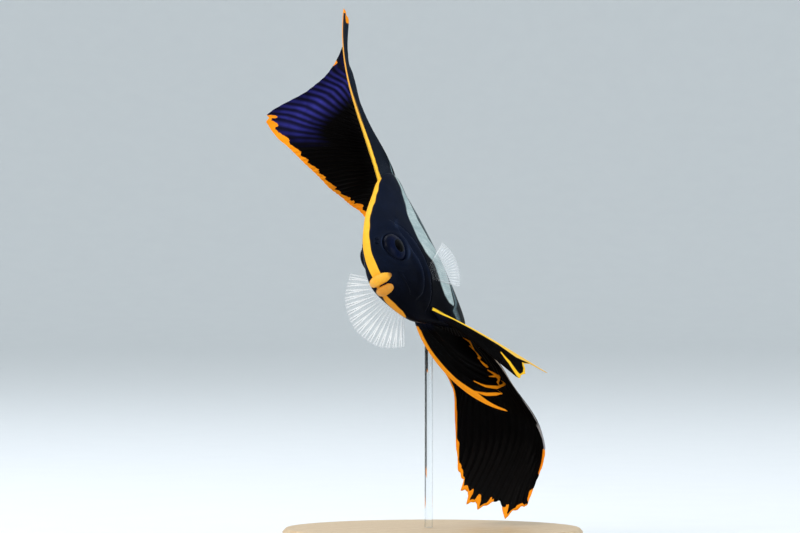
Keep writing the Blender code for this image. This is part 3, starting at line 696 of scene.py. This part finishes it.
def caudal_root(k):
    """Root of the tail fin in the end of the peduncle."""
    rows = np.array([ray[:2] for ray in CAUDAL_RAYS])
    height = at_stations(rows, k)[..., 0]
    return np.stack([np.full(k.shape, STANDARD_LENGTH - ROOT_SINK), height], -1)


def paired_root(ends, side, lift):
    """Root of a paired fin on the skin between two places (s, z) of the side view."""
    def place(k):
        start, end = np.array(ends)
        flat = start + (end - start) * k[:, :1]
        half = np.array([skin_half_width(s, z) + lift for s, z in flat])
        row = np.stack([flat[:, 0], side * half, flat[:, 1]], -1)
        return np.broadcast_to(row[:, None, :], (*k.shape, 3))
    return place


def nearest_gap(points, edge):
    """Distance of each grid point from a line of points, and which of them is nearest."""
    gap = np.full(points.shape[:2], 1e9)
    nearest = np.zeros(gap.shape, int)
    for number, place in enumerate(edge):
        reach = np.linalg.norm(points - place, axis=-1)
        nearest = np.where(reach < gap, number, nearest)
        gap = np.minimum(gap, reach)
    return gap, nearest


def saw(phase, sharp):
    """Stair step: rises slowly to 1 over most of each turn, then falls quickly."""
    share = phase - np.floor(phase)
    return np.where(share < sharp, share / sharp, (1 - share) / (1 - sharp))


def streaked(width, points, place, streaks):
    """A signed width made larger by tapering streaks, which run through places (k, t)."""
    share = np.linspace(0, 1, STREAK_STEPS)
    for half, stops in streaks:
        stops = np.array(stops)
        along = share * (len(stops) - 1)
        run = [np.interp(along, np.arange(len(stops)), stops[:, i])[:, None] for i in (0, 1)]
        tapers = half * (STREAK_POINT + (1 - STREAK_POINT) * fade(share, 0.5, 0.2))
        for centre, taper in zip(place(*run)[:, 0], tapers):
            width = np.maximum(width, taper - np.linalg.norm(points - centre, axis=-1))
    return width


def fin_marks(look, place, k, t, edge_k, to_lead, to_edge):
    """Signed widths of a fin's bright margin, leading line and pale streaks, above 0 inside."""
    border = value_at(look.get("border", NO_MARK), edge_k)
    if "steps" in look:
        start, spacing, height = look["steps"]
        turns = (edge_k - start) / spacing + 0.12 * np.sin(edge_k * 60)
        reach = rise(edge_k - start, 0.02) * rise(1.02 - edge_k, 0.1)
        border = border + height * saw(turns, 0.9) * reach
    points = place(k, t)
    margin = streaked(border - to_edge, points, place, look.get("streaks", []))
    pale = streaked(-1.0 + 0 * k, points, place, look.get("pale_streaks", []))
    return {"margin": margin, "pale": pale, "line": value_at(look.get("line", NO_MARK), t) - to_lead}


def sheet_faces(a, b):
    """Faces of two grids of a by b points, one on each side of a fin, and of the rim between."""
    back = a * b
    faces = []
    for i in range(a - 1):
        for j in range(b - 1):
            p, q, r, s = i * b + j, (i + 1) * b + j, (i + 1) * b + j + 1, i * b + j + 1
            faces += [(p, q, r, s), (back + s, back + r, back + q, back + p)]
    rim = ([i * b for i in range(a)] + [(a - 1) * b + j for j in range(1, b)]
           + [i * b + b - 1 for i in range(a - 2, -1, -1)] + [j for j in range(b - 2, 0, -1)])
    for p, q in zip(rim, rim[1:] + rim[:1]):
        faces.append((p, back + p, back + q, q))
    return faces


def off_ray(phase):
    """Distance from the nearest ray, where rays are 1 apart."""
    return np.abs(phase - np.round(phase))


def fin_grid(place, count, rows, per_ray, scallop, look):
    """Shares k and t of a fin's points, its edge cut between the rays and by its teeth."""
    columns = (count - 1) * per_ray + 1
    k = np.tile(np.linspace(0, 1, columns)[:, None] ** look.get("gather", 1), (1, rows + 1))
    t = np.tile(np.linspace(0, 1, rows + 1), (columns, 1)) ** EDGE_GATHER
    length = np.linalg.norm(np.diff(place(k, t), axis=1), axis=2).sum(1)[:, None]
    cut = scallop * (2 * off_ray(k[:, :1] * (count - 1))) ** 1.5
    cut = cut + value_at(look.get("teeth", NO_TEETH), k[:, :1])
    cut = cut / np.maximum(length, 4 * cut)
    return k, t * (1 - cut * t ** 3)


def fin(name, rays, root, look, bent=True):
    """A fin of full ray count: pleated membrane, branched rays, thin scalloped edge.

    look holds gather (how much closer the first columns are), painted_left_sheen (1 where a grey sheen
    is painted on the left face near the leading edge), the tables of its edge and marks, and its
    material."""
    def place(k, t):
        return ray_grid(rays, k, t, root)

    count, rows, per_ray, thick, thin, pleat, relief, lead, scallop = FIN_SIZES[name.split("_")[0]]
    k, t = fin_grid(place, count, rows, per_ray, scallop, look)
    phase = k * (count - 1)
    points = place(k, t)
    across = np.cross(np.gradient(points, axis=0), np.gradient(points, axis=1))
    across /= np.linalg.norm(across, axis=2)[..., None]
    ridge = hump(off_ray(phase) - BRANCH_SPREAD * rise(t - 0.5, 0.5), RAY_WIDTH)
    to_lead = nearest_gap(points, points[0])[0]
    to_edge, at_edge = nearest_gap(points, points[:, -1])
    fields = fin_marks(look, place, k, t, k[at_edge, 0], to_lead, to_edge)
    shine = sheen(k, phase, t) if "steps" in look else 0 * k
    fields |= {"sheen": shine, "along": t, "to_edge": to_edge, "ridge": ridge}
    half = thin + (thick - thin) * np.maximum(1 - t, 0) ** 1.6
    half = half + relief * ridge * (1 - 0.6 * t)
    half = half + lead * hump(to_lead, LEAD_WIDTH) * (1 - 0.7 * t)
    wave = pleat * np.cos(2 * np.pi * phase) * rise(t, 0.25) * (1 - 0.35 * t)
    points = points + across * wave[..., None]
    one = pose(points + across * half[..., None], bent)
    two = pose(points - across * half[..., None], bent)
    vertices = np.concatenate([one.reshape(-1, 3), two.reshape(-1, 3)])
    attributes = {key: np.tile(values.ravel(), 2) for key, values in fields.items()}
    # A grey sheen is painted on the left face only, near the leading edge; the right face gets none
    left_face_sheen = (look.get("painted_left_sheen", 0) * (1 - rise(k - 0.2, 0.3))).ravel()
    attributes["painted_left_sheen"] = np.concatenate([0 * left_face_sheen, left_face_sheen])
    piece = new_piece(name + "_sheet", vertices, sheet_faces(*k.shape), attributes, look["material"])
    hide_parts(*look.get("nodes", [name]))


def sheen(k, phase, t):
    """Where a violet-blue sheen is painted on the dorsal fin's membrane, on the lit side of each pleat.
    """
    pleats = 0.5 + 0.5 * np.cos(2 * np.pi * (phase - 0.3))
    place = rise(k - 0.06, 0.08) * rise(0.46 - k, 0.12) * rise(t - 0.66, 0.18)
    return place * (0.1 + 0.9 * pleats ** 1.5) * (1 - 0.6 * rise(t - 0.86, 0.14))


def pectoral_rays(side):
    """Rays of a pectoral fin: laid back along the left flank, held out on the right."""
    rays = []
    top, bottom = (np.array(end) for end in PECTORAL_ROOT)
    first, turn = PECTORAL_LIFTS[side]
    for share in np.linspace(0, 1, 5):
        s, z = top + (bottom - top) * share
        lift = math.radians(first + turn * share)
        reach = PECTORAL_LENGTHS[side] * (0.9 + 0.16 * math.sin(math.pi * share))
        root = Vector((s, skin_half_width(s, z) + 0.6, z))
        direction = PECTORAL_OUT[side] * math.cos(lift) + PECTORAL_UP * math.sin(lift)
        direction.normalize()
        points = [root + direction * reach * part for part in (0.33, 0.66, 1.0)]
        rays.append((share, *(tuple(p) for p in points)))
    return rays


def turned(rays, side):
    """Rays of a paired fin with y on the fish's own side."""
    return [(ray[0], *((s, side * y, z) for s, y, z in ray[1:])) for ray in rays]


# Materials
# A mix of colours, and how many rings the wave pattern draws in one unit
RGBA = {"data_type": "RGBA"}
WAVE_RINGS = 3.15


def colour(code):
    """Linear colour of an sRGB hex code."""
    parts = [int(code[i:i + 2], 16) / 255 for i in (1, 3, 5)]
    linear = [c / 12.92 if c <= 0.04045 else ((c + 0.055) / 1.055) ** 2.4 for c in parts]
    return (*linear, 1)


def add(tree, kind, sockets=None, **settings):
    """Adds a shader node; a socket takes a value, a colour code, an output or a node."""
    made = tree.nodes.new("ShaderNode" + kind)
    for key, value in settings.items():
        setattr(made, key, value)
    for socket, value in (sockets or {}).items():
        if isinstance(value, bpy.types.Node):
            value = next(output for output in value.outputs if output.enabled)
        if isinstance(value, bpy.types.NodeSocket):
            tree.links.new(value, made.inputs[socket])
        else:
            made.inputs[socket].default_value = colour(value) if isinstance(value, str) else value
    return made


def new_material(name, **constants):
    """A material and its nodes, with the shader's unlinked sockets set here."""
    material = bpy.data.materials.new(name)
    material.use_nodes = True
    tree = material.node_tree
    shader = tree.nodes["Principled BSDF"]
    for socket, value in constants.items():
        shader.inputs[socket.replace("_", " ")].default_value = value
    return material, tree


def finish_material(material, base, height, strength, depth):
    """Links the colour and a bump of the given depth in millimetres."""
    tree = material.node_tree
    shader = tree.nodes["Principled BSDF"]
    bump = add(tree, "Bump", {"Height": height, "Strength": strength, "Distance": depth * MM})
    tree.links.new(next(out for out in base.outputs if out.enabled), shader.inputs["Base Color"])
    tree.links.new(bump.outputs[0], shader.inputs["Normal"])
    return material


def drift(tree, place, size, first, second, detail=3):
    """Colour that drifts between two over a size in the units of the place."""
    noise = add(tree, "TexNoise", {"Vector": place, "Scale": 1 / size, "Detail": detail})
    return add(tree, "Mix", {0: noise, 6: first, 7: second}, **RGBA)


def paint(tree, base, layers):
    """Colours laid one over the other, each where its mesh attribute goes from low to high."""
    for label, low, high, above in layers:
        value = add(tree, "Attribute", attribute_name=label).outputs["Fac"]
        share = add(tree, "MapRange", {0: value, 1: low, 2: high})
        base = add(tree, "Mix", {0: share, 6: base, 7: above}, **RGBA)
    return base


def skin_material():
    """Fish skin, small scales under mucus, seen as in water: deep colour and a weak soft gloss."""
    material, tree = new_material("mucus_coated_skin", IOR=1.1, Roughness=0.42)
    place = add(tree, "Attribute", attribute_name="scale_place").outputs["Vector"]
    # Scales of the real fish are about 0.5 mm apart, drawn at 0.8 mm so that they show
    scales = add(tree, "TexVoronoi", {"Vector": place, "Scale": 1 / 0.8, "Randomness": 0.35})
    grain = add(tree, "TexNoise", {"Vector": place, "Scale": 1 / 0.5, "Detail": 3})
    hatch = add(tree, "MapRange", {0: scales, 1: 0.1, 2: 0.7, 3: 0, 4: 0.6})
    scaled = ((drift(tree, place, 7, "#000000", "#0e172c", 5), "#010207"),
              (drift(tree, place, 3, "#62828a", "#f0f6f0", 5), "#86a0a1"),
              ("#6b7f85", "#1c2427"),
              ("#101317", drift(tree, place, 3, "#020203", "#0b0c10", 5)))
    dark, pale, strip, flank = (
        add(tree, "Mix", {0: hatch, 6: middle, 7: rim}, **RGBA) for middle, rim in scaled)
    yellow = drift(tree, place, 4, "#eca41e", "#fcc644", 4)
    orange = drift(tree, place, 3, "#c87c1c", "#e49c30", 4)
    # Painted light and shade over the skin's own colours: black shade low on the head and over the gill
    # cover, and grey-blue highlights on the lids' rim, along the cheek's and gill's edges and high on the
    # head
    base = paint(tree, dark, (
        ("low_shade", 0, 1.3, "#000002"), ("skin_painted_light", 0, 1, "#2a3650"),
        ("into_bar", -0.3, 0.5, pale), ("past_bar", -0.2, 0.3, "#11181b"),
        ("past_bar", 1, 1.5, strip), ("past_bar", 2.2, 4.2, flank),
        ("crest_line", -0.1, 0.1, yellow), ("chin_line", -0.15, 0.15, orange)))
    height = add(tree, "Math", {0: grain, 1: 0.5, 2: scales}, operation="MULTIPLY_ADD")
    return finish_material(material, base, height, 0.4, 0.05)


def lip_material(first, second):
    """Lip flesh, moist and finely creased: a broad low gloss with light under it."""
    material, tree = new_material(
        "lip_flesh_and_painted_shade", IOR=1.3, Subsurface_Weight=0.15, Subsurface_Scale=0.6 * MM, Roughness=0.45)
    place = add(tree, "TexCoord").outputs["Object"]
    # Creases 0.35 mm apart on the real fish, drawn at 0.7 mm so that they show
    creases = add(tree, "TexNoise", {"Vector": place, "Scale": 1 / (0.7 * MM), "Detail": 4})
    base = drift(tree, place, 3.0 * MM, first, second, 2)
    # Painted shade darkens each lip towards its blunt ends at the corners of the mouth
    base = paint(tree, base, (("corner", 4.1, 5.2, "#6b3c0c"),))
    return finish_material(material, base, creases, 0.4, 0.08)


def eye_material():
    """Eye, a dark iris under a wet cornea, seen as in water: near black with a soft sheen."""
    material, tree = new_material(
        "cornea_over_iris", IOR=1.1, Roughness=0.25, Coat_Weight=0.3, Coat_Roughness=0.05,
        Coat_IOR=1.1)
    place = add(tree, "Attribute", attribute_name="iris_place").outputs["Vector"]
    iris = drift(tree, place, 0.6, "#01030b", "#0b1534", 6)
    # Fibres of the iris are about 0.1 mm wide, drawn at 0.3 mm so that they show
    fibres = add(tree, "TexNoise", {"Vector": place, "Scale": 1 / 0.3, "Detail": 4})
    base = paint(tree, iris, (
        ("iris_radius", PUPIL_RADIUS + 0.6, PUPIL_RADIUS + 0.25, "#0f172b"),
        ("iris_radius", PUPIL_RADIUS + 0.1, PUPIL_RADIUS - 0.05, "#000001"),
        ("iris_radius", 4, 5.4, "#070b18")))
    return finish_material(material, base, fibres, 0.15, 0.05)


def dark_fin_material(name, border, line_root, line_tip, streak):
    """Fin membrane over bony rays, black with a pigmented margin, wet and seen as in water."""
    material, tree = new_material(name, IOR=1.1, Roughness=0.45)
    place = add(tree, "TexCoord").outputs["Object"]
    grain = add(tree, "TexNoise", {"Vector": place, "Scale": 1 / (0.8 * MM), "Detail": 4})
    along, to_edge, ridge = (add(tree, "Attribute", attribute_name=label).outputs["Fac"]
                             for label in ("along", "to_edge", "ridge"))
    black = drift(tree, place, 5.0 * MM, "#000000", "#030101")
    shine = drift(tree, place, 4.0 * MM, "#14143e", "#3e3ea4")
    pigment = drift(tree, place, 5.0 * MM, *border)
    line = add(tree, "Mix", {0: along, 6: line_root, 7: line_tip}, **RGBA)
    # Painted light over the black: a grey sheen on the left face near the leading edge, and a violet-blue
    # sheen on the lit side of the dorsal fin's pleats
    base = paint(tree, black, (
        ("along", 0.2, 0.02, "#0b1020"), ("painted_left_sheen", 0, 1, "#1b212b"),
        ("sheen", 0, 1, shine),
        ("margin", -0.1, 0.1, pigment), ("pale", -0.15, 0.15, streak), ("line", -0.1, 0.1, line)))
    # Joints of the rays are about 0.5 mm apart, as on the real fish
    turns = add(tree, "Math", {0: to_edge, 1: 2 * math.pi / 0.5}, operation="MULTIPLY")
    joints = add(tree, "Math", {0: turns}, operation="SINE")
    height = add(tree, "Math", {0: joints, 1: ridge, 2: grain}, operation="MULTIPLY_ADD")
    return finish_material(material, base, height, 0.35, 0.03)


def clear_fin_material():
    """Clear fin membrane, thin and wet, with milky bony rays: half lets the light through."""
    material, tree = new_material("clear_fin_membrane", IOR=1.2, Roughness=0.35)
    place = add(tree, "TexCoord").outputs["Object"]
    grain = add(tree, "TexNoise", {"Vector": place, "Scale": 1 / (0.8 * MM), "Detail": 4})
    base = drift(tree, place, 3.0 * MM, "#d3dbe2", "#f6f8f9")
    base = paint(tree, base, (("ridge", 0.4, 0.9, "#ffffff"),))
    ridge, along = (add(tree, "Attribute", attribute_name=label).outputs["Fac"]
                    for label in ("ridge", "along"))
    solid = add(tree, "MapRange", {0: ridge, 1: 0.45, 2: 1, 3: 0.14, 4: 0.72})
    # The membrane fades towards the edge and towards the root
    for low, high, first, last in ((0.8, 1, 1, 0.4), (0.15, 0.8, 0.05, 1)):
        share = add(tree, "MapRange", {0: along, 1: low, 2: high, 3: first, 4: last})
        solid = add(tree, "Math", {0: solid, 1: share}, operation="MULTIPLY")
    tree.links.new(solid.outputs[0], tree.nodes["Principled BSDF"].inputs["Alpha"])
    return finish_material(material, base, grain, 0.2, 0.03)


def maple_material():
    """Maple, planed and oiled: pale wood with close straight grain and a low sheen."""
    material, tree = new_material("oiled_maple", IOR=1.45, Roughness=0.42)
    place = add(tree, "TexCoord").outputs["Object"]
    stretched = add(tree, "Mapping", {"Vector": place, "Scale": (1, 14, 6)})
    # Rings of 4 mm are drawn at 8 mm and pores of 0.1 mm at 0.3 mm, so that they show
    rings = add(tree, "TexWave", {"Vector": place, "Scale": 1 / (8.0 * MM) / WAVE_RINGS, "Distortion": 6,
                                  "Detail": 3, "Detail Scale": 0.6}, bands_direction="Y")
    fibres = add(tree, "TexNoise", {"Vector": stretched, "Scale": 1 / (4.0 * MM), "Detail": 6})
    base = add(tree, "Mix", {0: rings, 6: "#d8c19e", 7: "#cfb48f"}, **RGBA)
    pores = add(tree, "MapRange", {0: fibres, 1: 0.45, 2: 0.8})
    base = add(tree, "Mix", {0: pores, 6: base, 7: "#b4946a"}, **RGBA)
    return finish_material(material, base, fibres, 0.2, 0.05)


def acrylic_material():
    """Cast acrylic rod, polished: clear, with faint draw marks along it."""
    material, tree = new_material("polished_acrylic", IOR=1.49, Roughness=0.05, Transmission_Weight=1)
    place = add(tree, "TexCoord").outputs["Object"]
    marks = add(tree, "Mapping", {"Vector": place, "Scale": (1, 1, 0.03)})
    marks = add(tree, "TexNoise", {"Vector": marks, "Scale": 1 / (0.4 * MM), "Detail": 3})
    base = add(tree, "Mix", {0: marks, 6: "#eef3f4", 7: "#ffffff"}, **RGBA)
    return finish_material(material, base, marks, 0.05, 0.02)


def floor_material():
    """Matt paper backdrop, pressed: pale and even, without a gloss."""
    material, tree = new_material("matt_paper", Roughness=0.9)
    place = add(tree, "TexCoord").outputs["Object"]
    # Fibre clouds of the paper are about 5 mm, drawn at 25 mm so that they show
    fibre = add(tree, "TexNoise", {"Vector": place, "Scale": 40, "Detail": 4})
    base = drift(tree, place, 0.025, "#e6e9eb", "#eaedee", 4)
    return finish_material(material, base, fibre, 0.05, 0.1)


def build_fish():
    """Every piece of the fish."""
    skin()
    lip("lip_upper", LIP_UPPER, lip_material("#e09a20", "#f2b43a"))
    # The lower lip's colours are darker than the upper lip's by painted shade
    lip("lip_lower", LIP_LOWER, lip_material("#bc781e", "#d69432"))
    cornea = eye_material()
    for side, word in ((1, "left"), (-1, "right")):
        eye(side, word, cornea)
    orange = ("#ee8610", "#ff9d1c")
    fin("dorsal_fin", DORSAL_RAYS, middle_root(DORSAL_RAYS, True), DORSAL_MARKS | {
        "nodes": ["dorsal_fin_front", "dorsal_fin_hind"], "slot": "dark_fins", "painted_left_sheen": 1,
        "material": dark_fin_material("dorsal_membrane", orange, "#ffc93c", "#e39a55", "#8fa9ae")})
    fin("anal_fin", ANAL_RAYS, middle_root(ANAL_RAYS, False), ANAL_MARKS | {
        "nodes": ["anal_fin_front", "anal_fin_hind"], "slot": "dark_fins",
        "material": dark_fin_material("anal_membrane", orange, "#b09a7c", "#8a8a90", "#8a8a90")})
    clear_look = {"slot": "clear_fins", "material": clear_fin_material()}
    fin("caudal_fin", CAUDAL_RAYS, caudal_root, clear_look)
    pelvics = (
        (1, "left", PELVIC_LEFT_RAYS, PELVIC_LEFT_MARKS,
         (("#f8b41c", "#ffcf34"), "#ffcf30", "#f2c060", "#e8c9b4")),
        (-1, "right", PELVIC_RIGHT_RAYS, PELVIC_RIGHT_MARKS, (orange, "#f9981c", "#f9981c", "#4a5058")))
    for side, word, rays, marks, shades in pelvics:
        fin(f"pelvic_fin_{word}", turned(rays, side), paired_root(PELVIC_ROOT, side, 0.0), marks | {
            "slot": "dark_fins", "gather": 1.3,
            "material": dark_fin_material(f"pelvic_membrane_{word}", *shades)}, bent=False)
        fin(f"pectoral_fin_{word}", turned(pectoral_rays(side), side),
            paired_root(PECTORAL_ROOT, side, 0.1), clear_look, bent=False)


def dress_stand():
    """Finishes of the base and the rod, which stay as packed."""
    for name, material in (("stand_base", maple_material()), ("stand_rod", acrylic_material())):
        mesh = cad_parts[name].data
        mesh.materials.clear()
        mesh.materials.append(material)


def backdrop():
    """Pale floor that curves up far behind."""
    turn = np.linspace(0, 2 * math.pi, FLOOR_SIDES, endpoint=False)
    profile = [(0.01, 0.0), (1.5, 0.0), (FLOOR_FLAT, 0.0)]
    profile += [(FLOOR_FLAT + FLOOR_CURVE * math.sin(a), FLOOR_CURVE - FLOOR_CURVE * math.cos(a))
                for a in np.linspace(0.1, 1.5, 12)]
    profile.append(FLOOR_TOP)
    rings = [np.stack([radius * np.cos(turn), radius * np.sin(turn), 0 * turn + height], -1)
             for radius, height in profile]
    faces = []
    for i in range(len(rings) - 1):
        here, above = i * FLOOR_SIDES, (i + 1) * FLOOR_SIDES
        for j in range(FLOOR_SIDES):
            n = (j + 1) % FLOOR_SIDES
            faces.append((here + j, here + n, above + n, above + j))
    faces.append(tuple(range(FLOOR_SIDES)))
    floor = placed("floor", new_mesh("floor", np.concatenate(rings), faces, floor_material()))


def surround():
    """Even pale light from all round."""
    world = bpy.data.worlds.new("surround")
    bpy.context.scene.world = world
    world.use_nodes = True
    world.node_tree.nodes["Background"].inputs[0].default_value = colour("#dfe6ea")
    world.node_tree.nodes["Background"].inputs[1].default_value = SURROUND


def lamps():
    """Soft round lights, turned to the fish."""
    for name, size, (ahead, aside, up), power, tint in LIGHTS:
        data = bpy.data.lights.new(name, "AREA")
        data.shape = "DISK"
        data.size = size
        data.energy = power
        data.color = colour(tint)[:3]
        place = TOWARD * ahead + RIGHT * aside + Vector((0, 0, up))
        lamp = placed(name, data)
        lamp.location = AIM + place
        lamp.rotation_euler = (-place).to_track_quat("-Z", "Y").to_euler()
        lamp.visible_camera = False


def camera():
    """Level camera at the photo's angle, with the snout where the photo has it."""
    across = (PICTURE[0] / 2 - SNOUT_PIXEL[0]) / PIXELS_PER_MM
    up = (SNOUT_PIXEL[1] - PICTURE[1] / 2) / PIXELS_PER_MM
    place = Vector(SNOUT_AT) + TOWARD * CAMERA_DISTANCE + RIGHT * across + Vector((0, 0, up))
    data = bpy.data.cameras.new("camera")
    data.sensor_width = SENSOR
    data.lens = SENSOR * CAMERA_DISTANCE * PIXELS_PER_MM / PICTURE[0]
    data.clip_start, data.clip_end = CLIP
    item = placed("camera", data)
    item.location = place * MM
    item.rotation_euler = (-TOWARD).to_track_quat("-Z", "Y").to_euler()
    bpy.context.scene.camera = item


build_fish()
dress_stand()
backdrop()
surround()
lamps()
camera()
bpy.context.scene.view_settings.view_transform = "Standard"
bpy.context.view_layer.update()
